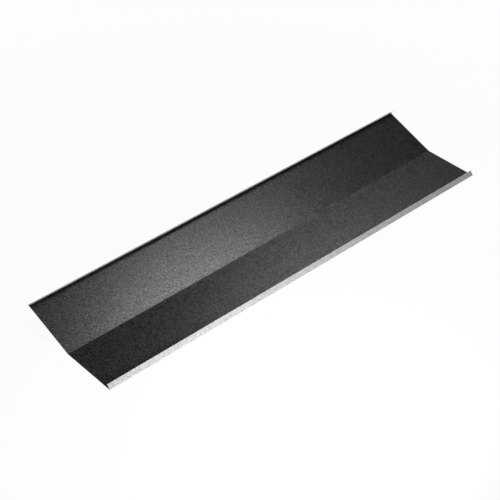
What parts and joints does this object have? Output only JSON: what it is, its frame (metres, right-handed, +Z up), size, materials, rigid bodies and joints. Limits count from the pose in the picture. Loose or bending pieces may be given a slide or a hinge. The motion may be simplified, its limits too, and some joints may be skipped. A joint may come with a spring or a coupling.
{
  "type": "valley flashing",
  "caption": "Shallow V-section of coated steel sheet that lines a roof valley and carries its water, with its long edges turned up and inward for fixing cleats.",
  "frame": {"origin": "middle of the valley line, the corner where the undersides of the two flanges would meet, on the floor that the flat flange lies on", "axes": "+X along the valley, +Y from the flange that lies flat towards the one that rises, +Z up"},
  "size_m": [2, 0.5086, 0.1035],
  "materials": {
    "coated_steel": "matt fine-grained graphite coat on the upper side, light grey back coat underneath and outside the turned-up edges"
  },
  "bodies": {
    "root": {"valley_sheet": "coated_steel"}
  },
  "joints": []
}
